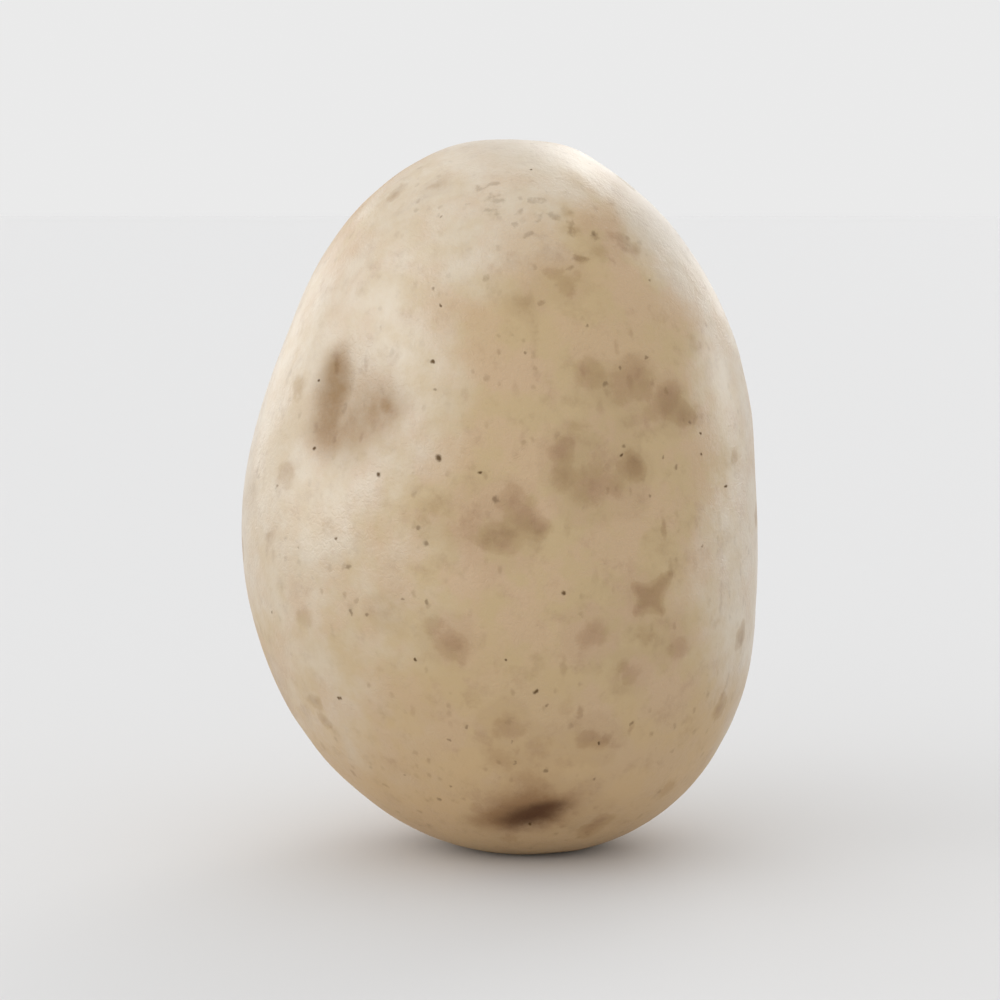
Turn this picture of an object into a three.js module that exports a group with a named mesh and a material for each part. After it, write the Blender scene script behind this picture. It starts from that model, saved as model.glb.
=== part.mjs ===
// A potato standing on its heel: one solid tuber, with its eyes, its stem scar, its flats and the
// shallow swells of its skin shaped into it.
// Units are millimetres and +Z is up. The front faces -Y, so +X is on the viewer's right.
import * as THREE from "three";
import { mergeVertices } from "three/addons/utils/BufferGeometryUtils.js";

// The front outline: the distance from the tuber's middle to its skin, every 30 degrees from the
// right side over the crown to the left side and the heel.
const FRONT_OUTLINE = [34.5, 37.1, 43.5, 47.6, 42.1, 35.3, 34.6, 37.8, 43.6, 48.6, 47.7, 39.5];

// Front to back the tuber is shallower than it is wide.
const SHALLOWER = 10.4; // how much nearer the skin is there than the front outline's mean
const FRONT_FULLER = 0.4; // the front bulges more than the back by twice this
const SHOULDERS_IN = 6.4; // draws the side outline in between its middle and its two ends
const HEEL_FORWARD = 1.2; // the heel end swings forward and the crown end back
const FOOT_DEPTH = 47.85; // from the middle down to the flat spot that the tuber stands on

// Places on the skin are given in degrees: turn goes round from the front towards the right,
// and rise goes up from the level of the middle.

// Flats: where the tuber grew against a stone or a neighbour. Each is a plane that trims the body,
// at a distance from the middle.
const FLAT_SOFTNESS = 1 / 90; // how gently the skin rolls into a flat
const FLATS = [
  { turn: 90, rise: 84, distance: 48.0 }, // crown
  { turn: -90, rise: -88, distance: 48.6 }, // heel
  { turn: -42, rise: 12, distance: 31.9 }, // left of the front
  { turn: 24, rise: 4, distance: 31.6 }, // right of the front
  { turn: 78, rise: 38, distance: 41.0 }, // right shoulder
  { turn: 158, rise: -6, distance: 31.2 }, // back
  { turn: -128, rise: 14, distance: 32.4 }, // left of the back
];

// Swells and hollows: reach is how far each one spreads, and height is negative in a hollow.
const SWELLS = [
  { turn: 47, rise: 55, reach: 4.5, height: -0.7 }, // dent in the right shoulder
  { turn: 2, rise: -7, reach: 8, height: -0.4 }, // below the middle of the front
  { turn: -22, rise: 36, reach: 11, height: 0.3 }, // below the crown
  { turn: -60, rise: -8, reach: 12, height: 0.4 }, // left side, under the left eye
  { turn: 140, rise: 27, reach: 13, height: 0.7 }, // back, above the flat
  { turn: -160, rise: -24, reach: 13, height: 0.6 }, // back, left of the back eye
  { turn: -100, rise: 38, reach: 11, height: -0.5 }, // left shoulder
  { turn: 112, rise: -36, reach: 12, height: -0.6 }, // right side, near the heel
];

// Eyes: each is a hollow with a steep wall under its brow and a gentle slope on the other side.
// long runs along the brow and wide across it, and arch is how much the brow curves. The brow is on
// the upper side at roll 0, and roll turns it anticlockwise as seen from outside. The bud pit and
// the stem scar are plain dishes: they have no brow, and both of their sides are alike.
const EYES = [
  { name: "left eye", turn: -45, rise: 27, long: 14, wide: 10, deep: 2, roll: 86, arch: 0.25 },
  { name: "right eye", turn: 99, rise: 14, long: 10, wide: 7, deep: 1.4, roll: -8, arch: 0.6 },
  { name: "back eye", turn: 172, rise: -30, long: 12, wide: 8, deep: 1.8, roll: 6, arch: 0.6 },
  { name: "upper back eye", turn: -168, rise: 34, long: 11, wide: 7, deep: 1.6, roll: -12, arch: 0.6 },
  { name: "crown eye", turn: 140, rise: 68, long: 9, wide: 7, deep: 1.4, roll: 15, arch: 0.6 },
  { name: "left back eye", turn: -110, rise: -16, long: 10, wide: 7, deep: 1.5, roll: 12, arch: 0.6 },
];
const BROW_HEIGHT = 0.3;
const STEEP_SHARE = 0.3; // of the eye's width, the part under the brow

// Dishes: long and wide are measured along and across the longer way, and roll turns that way
// anticlockwise from the level.
const DISHES = [
  { name: "bud pit", turn: -30, rise: 26, long: 6, wide: 5, deep: 0.5, roll: 0 },
  { name: "stem scar", turn: 13, rise: -65, long: 12, wide: 8, deep: 2.2, roll: 32 },
  { name: "heel groove", turn: 38, rise: -66, long: 7, wide: 4, deep: 0.6, roll: 35 },
];

const CUTS = 22; // cuts along each edge of the twenty-sided ball that the skin is drawn over
const GATHER = 0.4; // how much of their way to a hollow the ball's corners are drawn in
const GATHER_REACH = 0.22; // how far round a hollow they are drawn in, in radians
const SKIN_COLOUR = 0xcdb58e;

const radians = THREE.MathUtils.degToRad;

// The unit direction of a place on the skin.
function direction({ turn, rise }) {
  const level = Math.cos(radians(rise));
  return new THREE.Vector3(
    level * Math.sin(radians(turn)),
    -level * Math.cos(radians(turn)),
    Math.sin(radians(rise)),
  );
}

// The waves that add up to the smooth closed curve through an outline's evenly spaced radii.
function wavesOf(outline) {
  const count = outline.length;
  return Array.from({ length: count / 2 + 1 }, (_, k) => {
    const share = (k === 0 || k === count / 2 ? 1 : 2) / count;
    const angles = outline.map((_, i) => (2 * Math.PI * i * k) / count);
    return {
      cosine: share * outline.reduce((sum, radius, i) => sum + radius * Math.cos(angles[i]), 0),
      sine: share * outline.reduce((sum, radius, i) => sum + radius * Math.sin(angles[i]), 0),
    };
  });
}
const FRONT_WAVES = wavesOf(FRONT_OUTLINE);

// The plain body. Each wave of the front outline fades towards the front and the back of the
// tuber, so the skin stays smooth all round.
function bodyRadius(d) {
  const angle = Math.atan2(d.z, d.x);
  const reach = Math.hypot(d.x, d.z);
  const outline = FRONT_WAVES.reduce(
    (sum, wave, k) =>
      sum + reach ** k * (wave.cosine * Math.cos(k * angle) + wave.sine * Math.sin(k * angle)),
    0,
  );
  const depth =
    SHALLOWER + FRONT_FULLER * d.y + SHOULDERS_IN * d.z ** 2 - HEEL_FORWARD * d.y * d.z;
  return outline - depth * d.y ** 2;
}

function withFlats(radius, d) {
  const power = 1 / FLAT_SOFTNESS;
  const sum = FLATS.reduce((total, flat) => {
    const facing = d.dot(direction(flat));
    return facing > 0 ? total + (facing / flat.distance) ** power : total;
  }, radius ** -power);
  return sum ** (-1 / power);
}

// How far the skin lies from a place, along its brow and across it, in millimetres.
function offsets(d, place) {
  const centre = direction(place);
  const east = new THREE.Vector3(0, 0, 1).cross(centre).normalize();
  const north = centre.clone().cross(east);
  const size = bodyRadius(centre);
  const roll = radians(place.roll ?? 0);
  const u = d.dot(east) * size;
  const v = d.dot(north) * size;
  return {
    seen: d.dot(centre) > 0,
    along: u * Math.cos(roll) + v * Math.sin(roll),
    across: v * Math.cos(roll) - u * Math.sin(roll),
  };
}

function swellHeight(d, swell) {
  const { seen, along, across } = offsets(d, swell);
  return seen ? swell.height * Math.exp(-(along ** 2 + across ** 2) / swell.reach ** 2) : 0;
}

function eyeHeight(d, eye) {
  const { seen, along, across } = offsets(d, eye);
  if (!seen) return 0;
  const ends = Math.exp(-(((2 * along) / eye.long) ** 2));
  const lean = across + eye.arch * (along ** 2 / eye.long); // the brow arches over the hollow
  const steep = eye.wide * STEEP_SHARE;
  const gentle = eye.wide - steep;
  const fall = lean > 0 ? lean / steep : lean / gentle;
  const brow = Math.exp(-(((lean - 1.9 * steep) / steep) ** 2));
  return ends * (BROW_HEIGHT * brow - eye.deep * Math.exp(-(fall ** 2)));
}

function dishHeight(d, dish) {
  const { seen, along, across } = offsets(d, dish);
  const away = Math.hypot((2 * along) / dish.long, (2 * across) / dish.wide);
  return seen ? -dish.deep * Math.exp(-(away ** 2)) : 0;
}

function skinRadius(d) {
  const body = withFlats(bodyRadius(d), d);
  const swells = SWELLS.reduce((sum, swell) => sum + swellHeight(d, swell), 0);
  const eyes = EYES.reduce((sum, eye) => sum + eyeHeight(d, eye), 0);
  const dishes = DISHES.reduce((sum, dish) => sum + dishHeight(d, dish), 0);
  return body + swells + eyes + dishes;
}

// Draws a corner of the ball towards the hollows, so their walls are cut finer than the plain skin.
function gathered(d) {
  const moved = d.clone();
  for (const hollow of [...EYES, ...DISHES]) {
    const centre = direction(hollow);
    const near = Math.exp(-((d.angleTo(centre) / GATHER_REACH) ** 2));
    moved.addScaledVector(centre.sub(d), GATHER * near);
  }
  return moved.normalize();
}

function tuberGeometry() {
  const ball = new THREE.IcosahedronGeometry(1, CUTS);
  ball.deleteAttribute("normal");
  ball.deleteAttribute("uv");
  const geometry = mergeVertices(ball, 1e-5);
  const points = geometry.getAttribute("position");
  const d = new THREE.Vector3();
  for (let i = 0; i < points.count; i += 1) {
    const toSkin = gathered(d.fromBufferAttribute(points, i).normalize());
    const p = toSkin.clone().multiplyScalar(skinRadius(toSkin));
    points.setXYZ(i, p.x, p.y, Math.max(p.z, -FOOT_DEPTH));
  }
  geometry.computeBoundingBox();
  const { min, max } = geometry.boundingBox;
  geometry.translate(-(min.x + max.x) / 2, -(min.y + max.y) / 2, -min.z);
  geometry.computeVertexNormals();
  return geometry;
}

function tuber() {
  const skin = new THREE.MeshStandardMaterial({ color: SKIN_COLOUR, roughness: 0.55, metalness: 0 });
  const mesh = new THREE.Mesh(tuberGeometry(), skin);
  mesh.name = "potato";
  return mesh;
}

const potato = new THREE.Group();
potato.add(tuber());
export default potato;
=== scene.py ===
# %% [markdown]
# A potato, step by step.
# The solid model of the potato is loaded first. It has the true size and the main form: the outline,
# the flats, the eyes and the stem scar. A potato could also be modelled by eye from a ball, but over
# the solid it keeps its real size. So the skin is drawn much finer over that form here, and then it
# gets its colours: stains, pores, flecks and the brown of the hollows, with painted shade in the
# hollows, painted sheen where it is waxy and painted light near the floor.

# %% Load the model
import math
import random
import bpy
import numpy as np
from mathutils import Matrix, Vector
from mathutils.noise import noise_vector, seed_set


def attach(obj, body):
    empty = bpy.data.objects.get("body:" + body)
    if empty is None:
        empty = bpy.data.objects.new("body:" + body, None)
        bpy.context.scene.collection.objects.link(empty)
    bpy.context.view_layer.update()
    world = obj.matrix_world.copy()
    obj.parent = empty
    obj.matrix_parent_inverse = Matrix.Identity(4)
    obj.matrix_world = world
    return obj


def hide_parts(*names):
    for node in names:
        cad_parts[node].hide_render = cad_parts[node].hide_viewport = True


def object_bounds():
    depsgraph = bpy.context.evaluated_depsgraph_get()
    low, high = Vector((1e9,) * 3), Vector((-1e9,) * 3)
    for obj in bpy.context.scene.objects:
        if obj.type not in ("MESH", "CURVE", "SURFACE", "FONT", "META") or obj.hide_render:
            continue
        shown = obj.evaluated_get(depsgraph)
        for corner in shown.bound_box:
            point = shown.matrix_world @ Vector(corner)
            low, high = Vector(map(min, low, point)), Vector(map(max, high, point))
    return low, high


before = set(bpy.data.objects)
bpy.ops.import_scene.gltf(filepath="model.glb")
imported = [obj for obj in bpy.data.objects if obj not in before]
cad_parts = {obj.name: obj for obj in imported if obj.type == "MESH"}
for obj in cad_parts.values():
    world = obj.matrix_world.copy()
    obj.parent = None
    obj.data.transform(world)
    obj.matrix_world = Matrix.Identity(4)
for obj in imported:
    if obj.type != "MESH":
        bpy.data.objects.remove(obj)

MM = 0.001
SOLID_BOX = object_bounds()
LOW, HIGH = Vector(SOLID_BOX[0]), Vector(SOLID_BOX[1])
MIDDLE = (LOW + HIGH) / 2
print("the solid measures", [round(side / MM, 1) for side in HIGH - LOW], "mm")

# %% [markdown]
# The camera comes first, because the marks on the skin are placed by where they are seen.
# The potato is seen from the front, a little from above, through a long lens from close by. The lens
# and the distance could be tried by eye, but measured ones put each mark on its pixel.

# %% Camera
LENS = 100  # mm, on a sensor 36 mm wide
SENSOR = 36
CAMERA_DISTANCE = 0.375  # metres
CAMERA_RISE = 6  # degrees above the level of its aim
AIM = Vector((0, 0, MIDDLE.z - 0.3 * MM))
PICTURE = 1000  # pixels along each side


def direction(turn, rise):
    """The direction at a turn from the front towards the right and at a rise, in degrees."""
    turn, rise = math.radians(turn), math.radians(rise)
    return Vector((
        math.cos(rise) * math.sin(turn),
        -math.cos(rise) * math.cos(turn),
        math.sin(rise),
    ))


camera_place = AIM + CAMERA_DISTANCE * direction(0, CAMERA_RISE)
bpy.ops.object.camera_add(location=camera_place)
camera = bpy.context.object
camera.name = "camera"
camera.rotation_euler = (AIM - camera_place).to_track_quat("-Z", "Y").to_euler()
camera.data.lens = LENS
camera.data.sensor_width = SENSOR
camera.data.clip_start = 0.01
bpy.context.scene.camera = camera
bpy.context.view_layer.update()
print("the camera stands at", [round(c, 3) for c in camera_place])

# %% [markdown]
# The form to follow is a copy of the solid. Its triangles are loose, so they are merged first. Two
# levels of subdivision then round off the edges between them, and the eyes keep their shape.

# %% A smooth form to follow
solid = bpy.data.objects["potato"]
form = solid.copy()
form.data = solid.data.copy()
form.name = "form"
form.parent = None
bpy.context.collection.objects.link(form)


def only(piece):
    """Selects one piece and nothing else, because an operator acts on all that is selected."""
    bpy.ops.object.select_all(action="DESELECT")
    piece.select_set(True)
    bpy.context.view_layer.objects.active = piece


def apply_modifier(piece, kind, **settings):
    """Adds a modifier to a piece, sets it and applies it."""
    only(piece)
    modifier = piece.modifiers.new(kind.title(), kind)
    for name, value in settings.items():
        setattr(modifier, name, value)
    bpy.ops.object.modifier_apply(modifier=modifier.name)


only(form)
bpy.ops.object.mode_set(mode="EDIT")
bpy.ops.mesh.select_all(action="SELECT")
bpy.ops.mesh.remove_doubles(threshold=1e-5)
bpy.ops.object.mode_set(mode="OBJECT")
apply_modifier(form, "SUBSURF", levels=2, render_levels=2)
print("the form to follow has", len(form.data.polygons), "faces")

# %% [markdown]
# The skin is one closed sheet all round the flesh. It starts as a cube, cut into small squares and
# blown up into a ball: this gives even faces with no crowded poles, as a ball of rings would have.
# The ball is then drawn in onto the form, so every face ends up about 0.6 mm wide.

# %% The skin: a ball drawn in onto the form
SQUARES = 101  # along each edge of the cube: one subdivision makes at most 100 cuts
CUBE_SIZE = 1.4  # of the solid's height, so that the ball lies well outside the form

bpy.ops.object.select_all(action="DESELECT")
bpy.ops.mesh.primitive_cube_add(size=CUBE_SIZE * (HIGH.z - LOW.z), location=MIDDLE)
skin = bpy.context.object
skin.name = "skin"
bpy.ops.object.mode_set(mode="EDIT")
bpy.ops.mesh.select_all(action="SELECT")
bpy.ops.mesh.subdivide(number_cuts=SQUARES - 1)
bpy.ops.transform.tosphere(value=1)
bpy.ops.object.mode_set(mode="OBJECT")
bpy.ops.object.transform_apply(location=True, rotation=True, scale=True)
apply_modifier(
    skin, "SHRINKWRAP", target=form, wrap_method="PROJECT",
    use_negative_direction=True, use_positive_direction=True,
)
apply_modifier(skin, "SMOOTH", factor=0.5, iterations=3)
bpy.ops.object.shade_smooth()
bpy.data.objects.remove(form)
print("the skin has", len(skin.data.polygons), "faces, in a box of",
      [round(side / MM, 1) for side in skin.dimensions], "mm")

# %% [markdown]
# Places on the skin are found in two ways. What the picture shows is placed by its pixel: a ray goes
# from the camera through the pixel to the skin. What lies on the hidden sides is placed by its
# turn round the potato, from the front towards the right, and its rise above the middle.

# %% Places on the skin
focal = LENS / SENSOR * PICTURE  # in pixels
WELL_OUTSIDE = 0.2  # metres from the middle of the potato


def skin_along(start, ray):
    """The first point of the skin that a ray meets."""
    hit, point, normal, face = skin.ray_cast(start, ray.normalized(), distance=1)
    return point if hit else None


def seen_at(x, y):
    """The point of the skin that the picture shows at a pixel."""
    half = PICTURE / 2
    ray = camera.matrix_world.to_3x3() @ Vector((x - half, half - y, -focal))
    return skin_along(camera_place, ray)


def facing(turn, rise):
    """The point of the skin that lies at a turn and a rise from the potato's middle."""
    out = direction(turn, rise)
    return skin_along(MIDDLE + WELL_OUTSIDE * out, -out)


def skin_points():
    """Every corner of the skin, as rows of x, y and z."""
    flat = np.empty(len(skin.data.vertices) * 3)
    skin.data.vertices.foreach_get("co", flat)
    return flat.reshape(-1, 3)


print("the middle of the picture shows", [round(c / MM, 1) for c in seen_at(500, 500)], "mm")

# %% [markdown]
# No potato is as even as a turned ball. Three soft noises raise and sink the skin: broad swells you
# feel with the palm, small lumps you see only where light grazes them, and fine wrinkles. They could
# be sculpted by hand. Noise that pushes the corners is quicker, and comes out the same each time.

# %% Swells, lumps and wrinkles
UNEVENNESS = {  # name: (size of a lump, height), in millimetres
    "swells": (16, 0.45),
    "lumps": (5.5, 0.14),
    "wrinkles": (1.9, 0.035),
}
for name, (size, height) in UNEVENNESS.items():
    noise = bpy.data.textures.new(name, "CLOUDS")
    noise.noise_scale = size * MM
    noise.noise_depth = 1
    apply_modifier(
        skin, "DISPLACE", texture=noise, strength=height * MM, mid_level=0.5, texture_coords="LOCAL",
    )
print("uneven by", sum(height for size, height in UNEVENNESS.values()), "mm at most")

# %% [markdown]
# The crown is full and nearly level on top, with a low rounded corner on either side. The solid cuts
# it a little low, so it is raised here by less than a millimetre. Moving single corners would leave
# dents. A weight that fades away from each place keeps the skin smooth.

# %% The crown
LEAST_WEIGHT = 0.01  # corners that weigh less stay where they are


def raise_skin(name, height, weights, mid_level=0, **settings):
    """Raises the skin by a height times the weights of its corners, which make a vertex group."""
    group = skin.vertex_groups.new(name=name)
    for corner in np.flatnonzero(weights > LEAST_WEIGHT):
        group.add([int(corner)], float(weights[corner]), "REPLACE")
    apply_modifier(
        skin, "DISPLACE", strength=height, mid_level=mid_level, vertex_group=name, **settings,
    )
    skin.vertex_groups.remove(skin.vertex_groups[name])


CROWN_RAISES = {  # name: (turn, rise, radius in mm, height in mm)
    "crown": (0, 87, 12, 0.45),
    "right_corner": (103, 79, 4.8, 0.65),
    "left_corner": (-105, 80, 4.5, 0.2),
}

for name, (turn, rise, radius, height) in CROWN_RAISES.items():
    away = np.linalg.norm(skin_points() - np.array(facing(turn, rise)), axis=1) / MM
    raise_skin(name, height * MM, np.exp(-(away / radius) ** 2))
print("the crown now reaches", round(skin_points()[:, 2].max() / MM, 1), "mm")

# %% [markdown]
# The eyes. Each is the scar of a tiny leaf, a curved brow, with a sleeping bud in the hollow under
# it. The solid has the brows and the hollows. What it is too coarse for is added here: the crease
# along the foot of the steep wall, and the bud. One formula, measured along the brow and across it,
# shapes every eye, so none of them has to be sculpted.

# %% The eyes
# Turn and rise are the middle of the deepest line, in degrees. Long and wide are in millimetres, along
# the brow and across it, and roll and arch are how the brow is turned and how much it curves.
EYES = [
    dict(name="left_eye", turn=-45, rise=27, long=14, wide=10, roll=86, arch=0.25, crease=0.1, bud=0),
    dict(name="right_eye", turn=99, rise=14, long=10, wide=7, roll=-8, arch=0.6, crease=0.3, bud=0.5),
    dict(name="back_eye", turn=172, rise=-30, long=12, wide=8, roll=6, arch=0.6, crease=0.3, bud=0.6),
    dict(name="high_eye", turn=-168, rise=34, long=11, wide=7, roll=-12, arch=0.6, crease=0.3, bud=0.5),
    dict(name="crown_eye", turn=140, rise=68, long=9, wide=7, roll=15, arch=0.6, crease=0.3, bud=0.5),
    dict(name="side_eye", turn=-110, rise=-16, long=10, wide=7, roll=12, arch=0.6, crease=0.3, bud=0.5),
]
SCAR = dict(turn=13, rise=-65, long=12, wide=8, roll=32, arch=0)

NEAR = 6  # mm under a place, down to where points still count
FAR = 99  # stands for the offset of the points that don't


def offsets(points, place):
    """How far the points lie from a place, along its brow and across it, in millimetres."""
    centre = facing(place["turn"], place["rise"])
    out = (centre - MIDDLE).normalized()
    east = Vector((0, 0, 1)).cross(out).normalized()
    north = out.cross(east)
    roll = math.radians(place["roll"])
    along = math.cos(roll) * east + math.sin(roll) * north
    across = math.cos(roll) * north - math.sin(roll) * east
    away = (points - np.array(centre)) / MM
    near = away @ np.array(out) > -NEAR
    u = away @ np.array(along)
    v = away @ np.array(across) + place["arch"] * u ** 2 / place["long"]
    return np.where(near, u, FAR), np.where(near, v, FAR)


CREASE_ABOVE = 0.4  # how far the crease lies above the deepest line, towards the brow, in mm
CREASE_WIDE = 0.9
BUD_LONG = 1.4
BUD_WIDE = 0.9
BUD_BELOW = 0.12  # how far the bud lies below the deepest line, as a share of the eye's width

for eye in EYES:
    u, v = offsets(skin_points(), eye)
    crease = np.exp(-(2 * u / eye["long"]) ** 2 - ((v - CREASE_ABOVE) / CREASE_WIDE) ** 2)
    raise_skin(eye["name"] + "_crease", -eye["crease"] * MM, crease)
    if eye["bud"]:
        bud = np.exp(-(u / BUD_LONG) ** 2 - ((v + BUD_BELOW * eye["wide"]) / BUD_WIDE) ** 2)
        raise_skin(eye["name"] + "_bud", eye["bud"] * MM, bud)
print(len(EYES), "eyes creased")

# %% [markdown]
# The stem scar is where the tuber hung from the plant. The hollow is in the solid, and here the cork
# fills a part of it. The cork is torn, which a rough noise on that spot alone gives. It is real
# relief, because a mere colour would look flat where light grazes it.

# %% The stem scar
SCAR_FILL = 1.1  # mm, at the deepest
CORK_ROUGH = 0.35

u, v = offsets(skin_points(), SCAR)
scar_spot = np.exp(-(2 * u / SCAR["long"]) ** 4 - (2 * v / SCAR["wide"]) ** 4)
scar_dish = np.exp(-(2 * u / SCAR["long"]) ** 2 - (2 * v / SCAR["wide"]) ** 2)
raise_skin("scar_floor", SCAR_FILL * MM, scar_dish)
cork = bpy.data.textures.new("cork", "CLOUDS")
cork.noise_scale = 1.6 * MM
raise_skin(
    "cork", CORK_ROUGH * MM, scar_spot, mid_level=0.5, texture=cork, texture_coords="LOCAL",
)
print("the scar covers", int((scar_spot > LEAST_WEIGHT).sum()), "corners")

# %% [markdown]
# The heel stands on a flat spot. The noises have moved it a little, so the lowest corners are
# pressed level with the surface again.

# %% The flat under the heel
points = skin_points()
points[:, 2] = np.maximum(points[:, 2], LOW.z)
skin.data.vertices.foreach_set("co", points.ravel())
skin.data.update()
level = int((points[:, 2] < LOW.z + 1e-6).sum())
print(level, "corners stand on the surface")

# %% [markdown]
# Much of a potato's look is where it is brown, pale or waxy. Some of the pale here is painted
# sheen, and some of the brown is painted shade. This could be painted by hand. Here each is a layer
# of soft spots on the corners of the skin, which stay easy to move, and the finish reads the layers.
# To give the spots ragged outlines, the distance to a spot is not measured from the corner itself
# but from a place that noise has pushed a little to one side.

# %% Painting soft spots
TEARS = [(3.4, 1.3), (1.3, 0.4)]  # size of the noise and how far it pushes, in millimetres
TEAR_SEED = 3

seed_set(TEAR_SEED)
points = skin_points() / MM
torn_points = points.copy()
for size, push in TEARS:
    torn_points += push * np.array([noise_vector(Vector(point / size)) for point in points])


def spots_of(places, ragged=1.0, power=2.0):
    """A layer of spots, each given as the point it is on, its radius in mm and its strength."""
    layer = np.zeros(len(points))
    measured = points + ragged * (torn_points - points)
    for spot, radius, strength in places:
        away = np.linalg.norm(measured - np.array(spot) / MM, axis=1)
        layer = np.maximum(layer, strength * np.exp(-(away / radius) ** power))
    return layer


def paint(name, layer):
    """Stores a layer on the corners of the skin under a name that the finish can read."""
    painted = skin.data.attributes.new(name, "FLOAT", "POINT")
    painted.data.foreach_set("value", layer.astype(np.float32))
    print(name, "covers", round(100 * float((layer > 0.3).mean()), 1), "% of the skin")


def where_seen(spots):
    """Turns spots given by the pixels that show them into spots on the skin, if they are on it."""
    found = [(seen_at(*pixel), radius, strength) for pixel, radius, strength in spots]
    return [spot for spot in found if spot[0] is not None]


def stroke(spots, steps=4):
    """Fills the gaps between spots in a row, so that they make one smooth band."""
    band = []
    for first, second in zip(spots, spots[1:]):
        for step in range(steps):
            share = step / steps
            x, y = (a + share * (b - a) for a, b in zip(first[0], second[0]))
            radius, strength = (a + share * (b - a) for a, b in zip(first[1:], second[1:]))
            band.append(((x, y), radius, strength))
    return band + [spots[-1]]


pushed = np.linalg.norm(torn_points - points, axis=1)
print("outlines are torn by", round(float(pushed.mean()), 1), "mm on average")

# %% [markdown]
# Stains. Where the skin was bruised or lay in wet soil it is brown, in blotches a few millimetres
# wide with darker hearts. The front ones are placed by where the picture shows them, and the
# hidden sides get others like them at random. Wide faint stains tie the blotches together.

# %% The stains
STAINS = [  # pixel, radius in mm, strength
    ((523, 518), 2.6, 1.0), ((538, 528), 1.7, 0.9), ((507, 538), 2.4, 0.9), ((487, 538), 1.6, 0.9),
    ((512, 500), 1.8, 0.8), ((467, 530), 3.0, 0.5), ((440, 512), 3.0, 0.35), ((420, 527), 2.2, 0.4),
    ((593, 373), 2.2, 0.75), ((637, 378), 3.6, 0.7), ((622, 392), 2.6, 0.5), ((668, 402), 2.6, 1.0),
    ((684, 415), 2.3, 0.9), ((650, 412), 2.4, 0.5), ((562, 455), 2.2, 0.8), ((562, 474), 2.2, 0.75),
    ((630, 468), 2.2, 1.0), ((593, 484), 3.6, 0.65), ((615, 490), 2.2, 0.6), ((577, 432), 2.6, 0.45),
    ((434, 627), 2.0, 0.6), ((453, 646), 2.2, 0.85), ((460, 661), 1.4, 0.5), ((388, 610), 2.4, 0.4),
    ((582, 640), 2.2, 0.5), ((596, 634), 2.4, 0.55), ((645, 633), 1.8, 0.5), ((677, 647), 2.2, 0.65),
    ((622, 669), 1.8, 0.55), ((632, 676), 1.6, 0.6), ((586, 740), 1.7, 0.7), ((598, 746), 1.6, 0.7),
    ((605, 737), 1.1, 0.5), ((504, 721), 1.6, 0.55), ((513, 729), 1.8, 0.65), ((499, 734), 1.3, 0.5),
    ((540, 745), 2.4, 0.45), ((567, 708), 2.2, 0.4), ((503, 758), 3.2, 0.45), ((533, 786), 3.4, 0.5),
    ((473, 808), 1.3, 0.7), ((590, 828), 2.2, 0.9), ((604, 819), 1.7, 0.9), ((600, 824), 1.8, 0.9),
    ((512, 838), 2.2, 0.6), ((667, 788), 2.0, 0.6), ((302, 618), 2.2, 0.6), ((315, 702), 1.5, 0.7),
    ((324, 719), 1.5, 0.9), ((287, 475), 2.4, 0.6), ((297, 390), 2.2, 0.6), ((272, 541), 1.8, 0.5),
    ((328, 523), 2.0, 0.4), ((280, 585), 1.8, 0.4), ((397, 193), 1.6, 0.8), ((437, 185), 2.0, 0.5),
    ((362, 292), 2.2, 0.35), ((390, 352), 2.6, 0.4), ((493, 284), 2.8, 0.35), ((527, 303), 2.2, 0.5),
    ((555, 276), 1.5, 0.7), ((567, 286), 1.8, 0.7), ((579, 275), 1.2, 0.5), ((580, 257), 1.4, 0.6),
    ((567, 216), 1.8, 0.5), ((573, 232), 1.5, 0.5), ((612, 237), 1.5, 0.7), ((624, 242), 1.7, 0.85),
    ((636, 248), 1.3, 0.7), ((600, 250), 2.0, 0.45), ((693, 342), 2.0, 0.5), ((735, 458), 1.5, 0.8),
    ((740, 638), 1.7, 1.0), ((720, 708), 1.7, 0.9), ((713, 622), 1.5, 0.4), ((652, 738), 1.6, 0.3),
    ((722, 698), 1.2, 0.8), ((742, 628), 1.2, 0.8),
]
STAR_MIDDLE = ((651, 596), 1.9, 1.0)  # one stain on the right has four points
STAR_TIPS = [
    ((634, 586), 0.5, 0.9), ((668, 576), 0.6, 1.0), ((635, 612), 0.5, 0.9), ((662, 612), 0.6, 0.9),
]
WIDE_STAINS = [
    ((612, 392), 4.6, 0.8), ((636, 388), 4.4, 0.8), ((620, 422), 4.0, 0.6), ((668, 408), 3.8, 0.95),
    ((684, 414), 3.2, 0.9), ((566, 464), 3.8, 0.9), ((590, 452), 5.0, 0.7), ((588, 486), 5.2, 0.8),
    ((620, 478), 4.6, 0.95), ((490, 525), 7.0, 0.7), ((440, 520), 4.0, 0.5), ((530, 755), 6.5, 0.6),
    ((592, 742), 4.4, 0.7), ((580, 805), 6.0, 0.5), ((668, 640), 5.0, 0.6), ((590, 637), 4.4, 0.7),
    ((628, 672), 4.0, 0.6), ((562, 275), 5.0, 0.55), ((610, 240), 5.0, 0.55), ((444, 638), 4.6, 0.6),
    ((388, 608), 4.0, 0.5), ((505, 722), 4.0, 0.6), ((640, 600), 4.6, 0.7), ((527, 303), 3.6, 0.55),
    ((437, 186), 2.8, 0.6),
]
HIDDEN_TURNS = (80, 280)  # in degrees from the front: the sides that the picture doesn't show
HIDDEN_STAINS = 24
HIDDEN_SPREAD = 3.5  # how far apart the spots of one stain lie, in degrees
HIDDEN_WIDE_STAINS = 10
WIDE_SPREAD = 7
WIDE_RADIUS = 5.5  # mm
STAIN_SEED = 7
draw = random.Random(STAIN_SEED)


def anywhere_hidden():
    """A random turn and rise on the sides that the picture doesn't show."""
    return draw.uniform(*HIDDEN_TURNS), math.degrees(math.asin(draw.uniform(-0.95, 0.95)))


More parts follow.
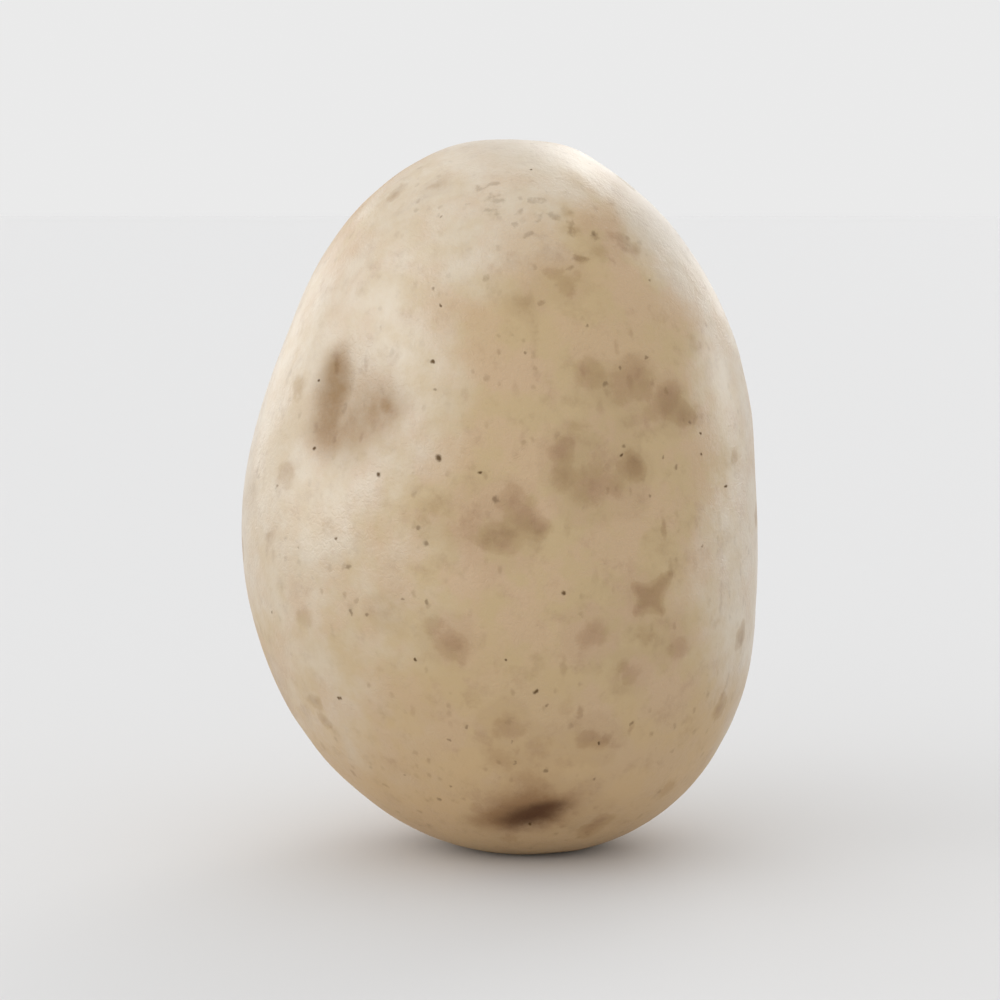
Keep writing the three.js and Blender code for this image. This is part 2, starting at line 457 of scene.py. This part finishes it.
def blotch(spread, radius):
    """A hidden stain: a few spots of about one radius that overlap."""
    turn, rise = anywhere_hidden()
    strength = draw.uniform(0.5, 1)
    return [
        (facing(turn + draw.gauss(0, spread), rise + draw.gauss(0, spread)),
         radius * draw.uniform(0.6, 1.2), strength * draw.uniform(0.6, 1))
        for _ in range(draw.randint(2, 5))
    ]


star = sum((stroke([STAR_MIDDLE, tip]) for tip in STAR_TIPS), [])
hidden = sum((blotch(HIDDEN_SPREAD, draw.uniform(1.1, 2.6)) for _ in range(HIDDEN_STAINS)), [])
hidden_wide = sum((blotch(WIDE_SPREAD, WIDE_RADIUS) for _ in range(HIDDEN_WIDE_STAINS)), [])
stains = np.maximum(
    spots_of(where_seen(STAINS) + hidden, ragged=0.75), spots_of(where_seen(star), ragged=0.3),
)
paint("stain", stains)
paint("wide_stain", spots_of(where_seen(WIDE_STAINS) + hidden_wide, ragged=0.8))

# %% [markdown]
# The hollows of the eyes are brown too, most of all under the brow, where the leaf scar is, and
# partly that brown is painted shade. The left eye's brown runs down along its steep wall, where its
# dark band is painted shade, and then across its floor to the sleeping bud, whose dark spot is
# painted shade of a pit that the shape doesn't have. Each hidden eye also gets a dark line of painted
# shade along its crease. The stem scar is dark brown cork in the middle, with a wide lighter border.

# %% The brown and painted shade of the hollows
# Painted shade: the dark band down the left eye's steep wall, over its brown.
WALL_BROWN_AND_SHADE = [  # pixel, radius in mm, strength
    ((342, 353), 1.8, 0.5), ((337, 368), 2.5, 0.95), ((336, 388), 3.0, 0.95), ((333, 410), 3.4, 0.88),
    ((330, 426), 3.6, 0.86), ((335, 443), 3.2, 0.7),
]
FLOOR_BROWN = [
    ((338, 430), 3.8, 0.72), ((354, 424), 5.6, 0.76), ((368, 415), 5.4, 0.75), ((384, 410), 3.8, 0.78),
    ((402, 407), 2.2, 0.45),
]
# Painted shade: the dark spot of the bud's pit, which the shape doesn't have.
BUD_PAINTED_SHADE = [((373, 410), 2.3, 0.9), ((386, 406), 2.0, 1.0)]
# The hidden eyes' brown, partly painted shade, reaches these shares of the eye's width up the steep
# wall and down the other.
STEEP_BROWN_AND_SHADE, GENTLE_BROWN_AND_SHADE = 0.3, 0.6
EYE_BROWN_AND_SHADE = 0.9  # its strength
# Painted shade: a dark line along the crease under the brow of each hidden eye.
LINE_WIDE = 0.7  # of the dark line in the crease, in mm
BROWN_AND_SHADE_ENDS, LINE_ENDS = 0.9, 1.1  # how soon they fade along the brow, next to the hollow itself

left_eye_brown_and_shade = where_seen(stroke(WALL_BROWN_AND_SHADE) + stroke(FLOOR_BROWN) + BUD_PAINTED_SHADE)
hollow_brown_and_shade = spots_of(left_eye_brown_and_shade, ragged=0.3, power=2.4)
crease = np.zeros(len(points))
for eye in EYES[1:]:
    u, v = offsets(torn_points * MM, eye)
    fall = v / (eye["wide"] * np.where(v > 0, STEEP_BROWN_AND_SHADE, GENTLE_BROWN_AND_SHADE))
    ends = 2 * u / eye["long"]
    brown_and_shade = np.exp(-(BROWN_AND_SHADE_ENDS * ends) ** 2 - fall ** 2)
    # Painted shade: a dark line along the crease.
    crease_shade_line = np.exp(-(LINE_ENDS * ends) ** 2 - ((v - CREASE_ABOVE) / LINE_WIDE) ** 2)
    hollow_brown_and_shade = np.maximum(hollow_brown_and_shade, EYE_BROWN_AND_SHADE * brown_and_shade)
    crease = np.maximum(crease, crease_shade_line)
# This layer holds the hollows' brown and their painted shade together.
paint("hollow_brown_and_shade", hollow_brown_and_shade)
paint("crease", crease)

SCAR_RIM = [
    ((484, 822), 3.0, 0.6), ((504, 818), 4.2, 0.9), ((530, 809), 5.4, 1.0), ((560, 803), 3.2, 0.6),
]
SCAR_HEART = [
    ((500, 821), 1.8, 0.4), ((514, 820), 2.8, 0.8), ((528, 816), 3.4, 0.97), ((540, 811), 3.1, 0.9),
    ((556, 806), 2.2, 0.7),
]
paint("scar_rim", spots_of(where_seen(stroke(SCAR_RIM)), ragged=0.4))
paint("scar_heart", spots_of(where_seen(stroke(SCAR_HEART)), ragged=0.4))

SCUFFS = [  # the pixels of the two ends, and the radius in mm
    ((477, 188), (480, 190), 0.75), ((491, 184), (496, 182), 0.6), ((489, 193), (490, 200), 0.75),
    ((496, 199), (503, 202), 0.85), ((485, 213), (497, 214), 0.7), ((533, 200), (545, 201), 0.75),
    ((549, 215), (561, 220), 0.75), ((536, 213), (538, 221), 0.6), ((512, 226), (518, 222), 0.7),
    ((520, 214), (523, 208), 0.55), ((526, 235), (533, 232), 0.6), ((572, 224), (573, 236), 0.8),
    ((593, 235), (595, 234), 0.75), ((574, 256), (586, 257), 0.8), ((567, 268), (571, 266), 0.6),
    ((484, 278), (488, 277), 0.6), ((541, 302), (544, 301), 0.6), ((467, 205), (471, 204), 0.5),
]
dashes = [stroke([(near, radius, 1.0), (far, radius, 1.0)]) for near, far, radius in SCUFFS]
paint("scuff", spots_of(where_seen(sum(dashes, [])), ragged=0.5))

# %% [markdown]
# The skin is waxy where it was rubbed and dry elsewhere. The waxy areas are wide and soft: both
# flanks, the crown and the right shoulder. They shine in the light, and their colour is also painted
# paler there, a painted sheen. A few of them have a greyer bloom, a tone painted where the sheen is
# brightest: painted sheen too. One gloss all over would look like plastic, so these areas are
# painted as layers too.

# %% The waxy areas, with their painted sheen
WAXY_AND_PAINTED_SHEEN_AREAS = [  # turn and rise in degrees, radius in mm, strength
    (-56, 29, 24, 0.87), (-63, 2, 21, 0.9), (-36, -14, 16, 0.48), (-55, -38, 15, 0.55),
    (-28, -52, 11, 0.25), (-24, 67, 17, 0.9), (26, 82, 16, 0.95), (80, 54, 14, 1.0),
    (78, 24, 15, 0.8), (76, -14, 18, 0.95), (88, -42, 12, 0.5), (-150, 10, 20, 0.7),
    (152, 34, 15, 0.7), (128, 8, 12, 0.5), (160, -45, 15, 0.5), (-105, -40, 12, 0.6),
]
# Painted sheen: a greyer tone painted where the sheen is brightest, which also makes the wax rougher.
BLOOM_AND_PAINTED_SHEEN_AREAS = [(84, 60, 11, 1.0), (20, 84, 9, 0.7), (-92, 8, 13, 0.7), (-160, 50, 12, 0.5)]
STREAKY_AREAS = [
    (62, -18, 19, 1.0), (66, 16, 12, 0.7), (-66, -12, 14, 0.5), (-165, 5, 20, 0.6),
    (120, -30, 15, 0.7),
]


def areas(places):
    """Turns areas given in degrees into spots on the skin."""
    return [(facing(turn, rise), radius, strength) for turn, rise, radius, strength in places]


# Painted sheen: the waxy layer also paints the skin paler where it shines.
paint("waxy_and_painted_sheen", spots_of(areas(WAXY_AND_PAINTED_SHEEN_AREAS), ragged=0.7, power=3.5))
paint("bloom_and_painted_sheen", spots_of(areas(BLOOM_AND_PAINTED_SHEEN_AREAS), ragged=0.6, power=3))
paint("streaky", spots_of(areas(STREAKY_AREAS), ragged=1.0, power=3))

# %% [markdown]
# Finishes are built from nodes. To keep the recipes readable, a small class wraps a node's output, so
# that plain arithmetic in Python adds the Math nodes, and one method makes every other node.

# %% Arithmetic on a node's output
class Wire:
    """One output in a material's node tree."""

    def __init__(self, tree, socket=None):
        self.tree = tree
        self.socket = socket

    def node(self, kind, settings=None, inputs=None, output=0):
        """Adds a node: its settings first, then the value or the wire of each input."""
        new = self.tree.nodes.new(kind)
        for name, value in (settings or {}).items():
            setattr(new, name, value)
        for name, value in (inputs or {}).items():
            if isinstance(value, Wire):
                self.tree.links.new(value.socket, new.inputs[name])
            else:
                new.inputs[name].default_value = value
        return Wire(self.tree, new.outputs[output])

    def math(self, operation, first, second=0.0):
        return self.node("ShaderNodeMath", {"operation": operation}, {0: first, 1: second})

    def __add__(self, other):
        return self.math("ADD", self, other)

    def __radd__(self, other):
        return self.math("ADD", other, self)

    def __sub__(self, other):
        return self.math("SUBTRACT", self, other)

    def __rsub__(self, other):
        return self.math("SUBTRACT", other, self)

    def __mul__(self, other):
        return self.math("MULTIPLY", self, other)

    def __rmul__(self, other):
        return self.math("MULTIPLY", other, self)

    def least(self, other):
        return self.math("MINIMUM", self, other)

    def most(self, other):
        return self.math("MAXIMUM", self, other)

    def step(self, start, end):
        """Goes smoothly from 0 at start to 1 at end."""
        return self.node(
            "ShaderNodeMapRange", {"interpolation_type": "SMOOTHSTEP"},
            {"Value": self, "From Min": start, "From Max": end},
        )

    def mix(self, first, second, blend="MIX"):
        """Goes from the first colour to the second as this value goes from 0 to 1."""
        return self.node(
            "ShaderNodeMix", {"data_type": "RGBA", "blend_type": blend, "clamp_factor": True},
            {0: self, 6: first, 7: second}, output=2,
        )

    def noise(self, size, detail=2.0, roughness=0.5):
        """Soft noise whose lumps are about size millimetres wide, from 0 to 1."""
        return self.node(
            "ShaderNodeTexNoise", {},
            {"Vector": self, "Scale": 1 / (size * MM), "Detail": detail, "Roughness": roughness},
        )

    def shifted(self, amount, size):
        """These coordinates, moved about by noise, so that outlines drawn on them look torn."""
        sway = self.node(
            "ShaderNodeTexNoise", {}, {"Vector": self, "Scale": 1 / (size * MM), "Detail": 2.0}, output=1,
        )
        centred = self.node(
            "ShaderNodeVectorMath", {"operation": "SUBTRACT"}, {0: sway, 1: (0.5, 0.5, 0.5)},
        )
        scaled = self.node(
            "ShaderNodeVectorMath", {"operation": "SCALE"}, {0: centred, "Scale": amount * MM},
        )
        return self.node("ShaderNodeVectorMath", {"operation": "ADD"}, {0: self, 1: scaled})

    def cells(self, size, feature="F1", output=0):
        """Scattered cells about size millimetres wide: the distance to each middle, or its colour."""
        return self.node(
            "ShaderNodeTexVoronoi", {"feature": feature},
            {"Vector": self, "Scale": 1 / (size * MM), "Randomness": 1.0}, output=output,
        )


def srgb(red, green, blue):
    """A colour as it is seen on a screen, from 0 to 255, turned into light."""
    light = [((c / 255 + 0.055) / 1.055) ** 2.4 for c in (red, green, blue)]
    return (*light, 1.0)


# %% [markdown]
# The plant breathes through its pores, the small dark dots all over the skin. Those that the picture
# shows are placed one by one, the dark ones apart from the faint ones. They are left to colour,
# because at half a millimetre wide their pits don't show.

# %% The pores that the picture shows
DARK_PORES = [  # pixel, width in mm
    ((439, 458), 0.85), ((378, 475), 0.75), ((480, 472), 0.6), ((314, 449), 0.6), ((536, 691), 0.6),
    ((336, 538), 0.5), ((700, 434), 0.5), ((726, 486), 0.45), ((515, 763), 0.55), ((416, 660), 0.45),
    ((507, 660), 0.45), ((622, 455), 0.5), ((701, 455), 0.4), ((531, 170), 0.4), ((600, 743), 0.45),
    ((340, 699), 0.55), ((564, 592), 0.6), ((530, 824), 0.6), ((440, 306), 0.45), ((318, 379), 0.4),
    ((432, 361), 0.6),
]
FAINT_PORES = [
    ((434, 389), 0.5), ((418, 527), 0.6), ((404, 600), 0.5), ((351, 612), 0.55), ((272, 612), 0.5),
    ((606, 384), 0.7), ((676, 467), 0.6), ((650, 496), 0.6), ((594, 234), 0.7), ((623, 445), 0.5),
    ((620, 368), 0.5), ((586, 326), 0.4), ((646, 357), 0.5), ((526, 352), 0.5), ((547, 705), 0.55),
    ((466, 727), 0.5), ((511, 742), 0.55), ((451, 786), 0.5), ((631, 723), 0.5), ((594, 779), 0.55),
    ((663, 457), 0.4), ((497, 500), 0.9), ((367, 615), 0.55), ((427, 601), 0.6), ((650, 280), 0.5),
    ((442, 217), 0.5), ((690, 422), 0.5), ((277, 487), 0.5), ((425, 544), 0.8), ((450, 740), 0.5),
    ((546, 771), 0.5), ((439, 799), 0.7), ((404, 775), 0.4), ((299, 546), 0.4), ((702, 546), 0.4),
    ((348, 567), 0.8), ((433, 289), 0.6),
]


def seen_pores(pores):
    """The point of the skin and the width of each pore."""
    found = [(seen_at(*pixel), width) for pixel, width in pores]
    return [pore for pore in found if pore[0] is not None]


dark_pores, faint_pores = seen_pores(DARK_PORES), seen_pores(FAINT_PORES)
print(len(dark_pores) + len(faint_pores), "pores placed")

# %% [markdown]
# The finish of the skin. Under even light a pale potato is buff, pinker in some patches and more
# olive in others. Colours from soft noise over several sizes give that, because no part of a real skin
# is one flat colour. The skin is also painted lighter and more golden towards the floor, a painted
# light, and paler where it is waxy, a painted sheen. Over it lie, from the faintest to the darkest,
# the flecks, the brown stains, the hollows with their painted shade, the scar and the pores.

# %% The colours of the skin
GOLDEN = srgb(186, 160, 119)
PINKISH = srgb(190, 162, 129)
OLIVE = srgb(186, 162, 122)
# Painted sheen: the pale of the waxy skin, where it shines.
PALE_PAINTED_SHEEN = srgb(203, 189, 167)
# Painted sheen: a greyer tone on the brightest sheen.
BLOOM_PAINTED_SHEEN = srgb(188, 178, 163)
# Painted light: lighter and more golden skin near the floor.
HEEL_PAINTED_LIGHT = srgb(197, 165, 123)
# Cork brown also colours the dark line of painted shade in the eyes' creases.
CORK_BROWN_AND_CREASE_SHADE = srgb(146, 112, 80)
CORK_DARK = srgb(88, 60, 42)
PORE_BROWN = srgb(86, 65, 41)
# These three darken the skin under them instead of hiding it.
BROWNED = (0.58, 0.47, 0.41, 1)
# The second one darkens both the bruised flecks and the hollows, where it is partly painted shade.
BRUISE_AND_SHADE_TINT = (0.6, 0.5, 0.41, 1)
GREYED = (0.67, 0.62, 0.55, 1)

finish = bpy.data.materials.new("potato_skin")
finish.use_nodes = True
tree = finish.node_tree
tree.nodes.clear()
start = Wire(tree)
place = start.node("ShaderNodeTexCoord", output=3)
torn = place.shifted(1.0, 1.1)


def layer_of(name):
    """A painted layer of the skin."""
    return start.node("ShaderNodeAttribute", {"attribute_name": name}, output=2)


# Painted sheen: this mask paints the colour paler, and it also picks the waxed shine below.
waxy_and_painted_sheen_mask = (layer_of("waxy_and_painted_sheen") + 0.5 * (place.noise(9, detail=4, roughness=0.6) - 0.5)).step(0.15, 0.85)
hue = place.noise(6, detail=3, roughness=0.6).step(0.4, 0.6)
colour = hue.mix(OLIVE, PINKISH)
golden = place.noise(17, detail=2).step(0.3, 0.7)
colour = (0.55 * golden).mix(colour, GOLDEN)
above_floor = start.node("ShaderNodeSeparateXYZ", inputs={"Vector": place}, output=2)
# Painted light: the skin is painted lighter and more golden towards the floor, fading out by 30 mm above
# it.
heel_painted_light_mask = 1 - (above_floor + 8 * MM * (hue - 0.5)).step(4 * MM, 30 * MM)
colour = (0.7 * heel_painted_light_mask).mix(colour, HEEL_PAINTED_LIGHT)
clouds = place.noise(4.5, detail=4, roughness=0.6).step(0.3, 0.7)
# Painted sheen: paler where the skin is waxy.
colour = (waxy_and_painted_sheen_mask * (0.35 + 0.5 * clouds)).mix(colour, PALE_PAINTED_SHEEN)
# Painted sheen: the greyer bloom where the sheen is brightest.
colour = (0.7 * layer_of("bloom_and_painted_sheen")).mix(colour, BLOOM_PAINTED_SHEEN)

# %% [markdown]
# Over the base colour go the stains. Like map contours, they have a wide pale step with a definite
# edge, and then darker steps towards their hearts. Noise makes the edges ragged. Between them the
# skin has faint smudges everywhere.

# %% Stains in the finish
smudges = place.noise(3.4, detail=5, roughness=0.65).step(0.5, 0.78)
colour = (0.36 * smudges).mix(colour, BROWNED, blend="MULTIPLY")
patchy = torn.noise(2.2, detail=3, roughness=0.7)
wide = layer_of("wide_stain") + 0.4 * (torn.noise(4.2, detail=4, roughness=0.6) - 0.5)
wide_mask = 0.5 * wide.step(0.2, 0.36) + 0.5 * wide.step(0.48, 0.7)
colour = (0.27 * wide_mask).mix(colour, BROWNED, blend="MULTIPLY")
stained = layer_of("stain") + 0.55 * (patchy - 0.5)
border = stained.step(0.22, 0.5)
heart = stained.step(0.5, 0.9)
colour = (0.26 * border + 0.3 * heart).mix(colour, BROWNED, blend="MULTIPLY")

# %% [markdown]
# Small grey flecks are scattered between the stains, close together in some places. On the right
# side they are drawn out up and down, the way the tuber grew.

# %% Flecks in the finish
def flecks(size, stretch, width, luck_from, patch_size):
    """A mask of small soft flecks in the cells of a grid that has been pulled about."""
    pulled = start.node("ShaderNodeMapping", {}, {"Vector": torn, "Scale": (1.0, 1.0, 1 / stretch)})
    middles = 1 - pulled.cells(size).step(0.3 * width, width)
    luck = start.node("ShaderNodeSeparateColor", inputs={"Color": pulled.cells(size, output=1)})
    patches = place.noise(patch_size, detail=2).step(0.42, 0.62)
    return middles * luck.step(luck_from, luck_from + 0.2) * (0.2 + 0.8 * patches)


frayed = torn.noise(0.9, detail=3, roughness=0.6)
scuffed = (layer_of("scuff") + 1.1 * (frayed - 0.5)).step(0.45, 0.9)
colour = (0.75 * scuffed).mix(colour, GREYED, blend="MULTIPLY")
colour = (0.55 * flecks(1.5, 1.4, 0.34, 0.55, 8)).mix(colour, GREYED, blend="MULTIPLY")
colour = (0.5 * flecks(2.1, 3.0, 0.3, 0.6, 11)).mix(colour, BRUISE_AND_SHADE_TINT, blend="MULTIPLY")
streaks = layer_of("streaky") * flecks(1.7, 3.4, 0.36, 0.3, 5)
colour = (0.5 * streaks).mix(colour, GREYED, blend="MULTIPLY")

# %% [markdown]
# The eyes, the scar and the pores are the darkest, and they are dry: no wax is left on them. The
# hollows' dark is brown and painted shade, and a dark line of painted shade follows each hidden eye's
# crease. The pores that the picture shows are drawn by their distance, and a grid of cells scatters
# small ones over the hidden sides.

# %% Eyes, scar and pores in the finish
# Painted shade: the hollows are darkened with brown and painted shade together.
hollow_brown_and_shade_mask = (layer_of("hollow_brown_and_shade") * (0.8 + 0.4 * patchy)).least(1.0)
colour = hollow_brown_and_shade_mask.mix(colour, BRUISE_AND_SHADE_TINT, blend="MULTIPLY")
# Painted shade: a dark line along each eye's crease.
colour = (0.5 * layer_of("crease")).mix(colour, CORK_BROWN_AND_CREASE_SHADE)
rim_mask = (layer_of("scar_rim") + 0.3 * (patchy - 0.5)).step(0.05, 0.85)
heart_mask = (layer_of("scar_heart") + 0.3 * (patchy - 0.5)).step(0.1, 1.0)
colour = (0.85 * rim_mask).mix(colour, CORK_BROWN_AND_CREASE_SHADE)
colour = (0.95 * heart_mask).mix(colour, CORK_DARK)


def pores_mask(pores):
    """A mask of the pores: 1 in the middle of each one, and 0 outside it."""
    nearest = None
    for spot, width in pores:
        away = start.node(
            "ShaderNodeVectorMath", {"operation": "DISTANCE"}, {0: torn, 1: spot}, output=1,
        )
        scaled = away * (2 / (width * MM))
        nearest = scaled if nearest is None else nearest.least(scaled)
    return 1 - nearest.step(0.4, 1.4)


PORES_APART = 2.6  # mm

scattered = torn.cells(PORES_APART)
pore_colour = torn.cells(PORES_APART, output=1)
pore_luck = start.node("ShaderNodeSeparateColor", inputs={"Color": pore_colour}, output=1)
backwards = start.node("ShaderNodeSeparateXYZ", inputs={"Vector": place}, output=1)
hidden_side = 0.1 + 0.9 * backwards.step(-4 * MM, 8 * MM)
small = (1 - scattered.step(0.05, 0.12)) * pore_luck.step(0.5, 0.51) * hidden_side
pore_mask = pores_mask(dark_pores).most(0.55 * pores_mask(faint_pores)).most(0.75 * small)
colour = (0.9 * pore_mask).mix(colour, PORE_BROWN)

# %% [markdown]
# The relief that is too fine to shape is left to a bump: a netting of cork, and ripples between its
# lines. It shows only where light grazes. The skin has three kinds of surface, waxed, plain and dry,
# and masks mix them, because wax shines far more than plain skin and cork hardly at all.

# %% Relief and shine
netting = place.shifted(1.2, 1.2).cells(0.8, feature="DISTANCE_TO_EDGE").step(0.0, 0.25)
ripples = place.noise(0.9, detail=3, roughness=0.65)
wrinkled = place.noise(6, detail=2).step(0.4, 0.6)
relief = (0.08 + 0.2 * wrinkled) * netting + 1.1 * ripples
bump = start.node("ShaderNodeBump", {}, {"Strength": 0.5, "Distance": 0.12 * MM, "Height": relief})
grain = place.noise(0.7, detail=4, roughness=0.65)
WAX_IOR, SKIN_IOR, CORK_IOR = 2.0, 1.5, 1.12  # the higher it is, the more the surface shines
GLOW = 0.04  # the share of the light that sinks into the flesh and comes out beside where it fell
GLOW_DEPTH = 1.5 * MM
GLOW_COLOURS = (1.0, 0.6, 0.3)  # red light goes deepest


def skin_shader(ior, roughness):
    """The skin with one kind of surface. All kinds share the colour and the relief."""
    shader = tree.nodes.new("ShaderNodeBsdfPrincipled")
    shader.inputs["Subsurface Weight"].default_value = GLOW
    shader.inputs["Subsurface Radius"].default_value = GLOW_COLOURS
    shader.inputs["Subsurface Scale"].default_value = GLOW_DEPTH
    shader.inputs["IOR"].default_value = ior
    tree.links.new(colour.socket, shader.inputs["Base Color"])
    tree.links.new(roughness.socket, shader.inputs["Roughness"])
    tree.links.new(bump.socket, shader.inputs["Normal"])
    return Wire(tree, shader.outputs[0])


waxed = skin_shader(WAX_IOR, 0.26 + 0.14 * grain + 0.16 * layer_of("bloom_and_painted_sheen"))
plain_skin = skin_shader(SKIN_IOR, 0.4 + 0.2 * grain)
dry = skin_shader(CORK_IOR, 0.7 + 0.2 * grain)
dry_mask = pore_mask.most(rim_mask).most(hollow_brown_and_shade_mask).most(0.4 * border)
mixed = start.node("ShaderNodeMixShader", inputs={0: waxy_and_painted_sheen_mask, 1: plain_skin, 2: waxed})
mixed = start.node("ShaderNodeMixShader", inputs={0: dry_mask, 1: mixed, 2: dry})
output = tree.nodes.new("ShaderNodeOutputMaterial")
tree.links.new(mixed.socket, output.inputs["Surface"])
skin.data.materials.clear()
skin.data.materials.append(finish)
print("the finish has", len(tree.nodes), "nodes")

# %% [markdown]
# The skin takes the place of the solid in the picture, and the solid stays what it is for weight
# and touch.

# %% Handing the skin to the frame
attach(skin, "root")
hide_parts("potato")
print("the skin takes the place of the solid")

# %% [markdown]
# The set is a pale floor that runs on until it meets the pale room, with no wall and no visible edge.

# %% The floor
FLOOR_SIZE = 60.0  # metres
FLOOR_GREY = (0.682, 0.682, 0.684, 1)

bpy.ops.object.select_all(action="DESELECT")
bpy.ops.mesh.primitive_grid_add(x_subdivisions=4, y_subdivisions=4, size=FLOOR_SIZE)
floor = bpy.context.object
floor.name = "floor"
paper = bpy.data.materials.new("pale_paper")
paper.use_nodes = True
paper_shader = paper.node_tree.nodes["Principled BSDF"]
paper_shader.inputs["Base Color"].default_value = FLOOR_GREY
paper_shader.inputs["Roughness"].default_value = 0.9
paper_shader.inputs["IOR"].default_value = 1.1
floor.data.materials.append(paper)
print("the floor is", FLOOR_SIZE, "m wide")

# %% [markdown]
# The light is soft and comes from far away, so the floor is evenly lit. The pale room gives most of
# it. Broad lights from the left, the front left and the right give the skin its sheen on both
# flanks, and two from behind draw the bright edge on the right shoulder. Lamps close by would do
# that too, but they would leave bright pools on the floor.

# %% Lights
def soft_sun(name, turn, rise, spread, strength):
    """A distant light at a turn and a rise. Spread is how wide it looks, in degrees."""
    towards = direction(turn, rise)
    bpy.ops.object.light_add(type="SUN", location=MIDDLE + 2 * towards)
    light = bpy.context.object
    light.name = name
    light.rotation_euler = (-towards).to_track_quat("-Z", "Y").to_euler()
    light.data.angle = math.radians(spread)
    light.data.energy = strength


soft_sun("left", -80, 25, 60, 0.55)
soft_sun("left_low", -60, 7, 50, 0.25)
soft_sun("front_left", -45, 30, 60, 0.26)
soft_sun("front_fill", -15, 3, 60, 0.35)
soft_sun("left_back", -140, 10, 36, 0.29)
soft_sun("right_back", 158, 22, 34, 0.48)
soft_sun("right_high", 153, 39, 26, 0.12)
soft_sun("right_side", 115, 4, 30, 0.27)
soft_sun("back", 180, 50, 50, 0.2)
soft_sun("above", 0, 85, 70, 0.12)

ROOM_BRIGHTNESS = 0.825
room = bpy.data.worlds.new("room")
bpy.context.scene.world = room
room.use_nodes = True
background = room.node_tree.nodes["Background"]
background.inputs["Color"].default_value = (1, 1, 1, 1)
background.inputs["Strength"].default_value = ROOM_BRIGHTNESS
bpy.context.scene.view_settings.view_transform = "Standard"
print("the room's brightness is", ROOM_BRIGHTNESS)
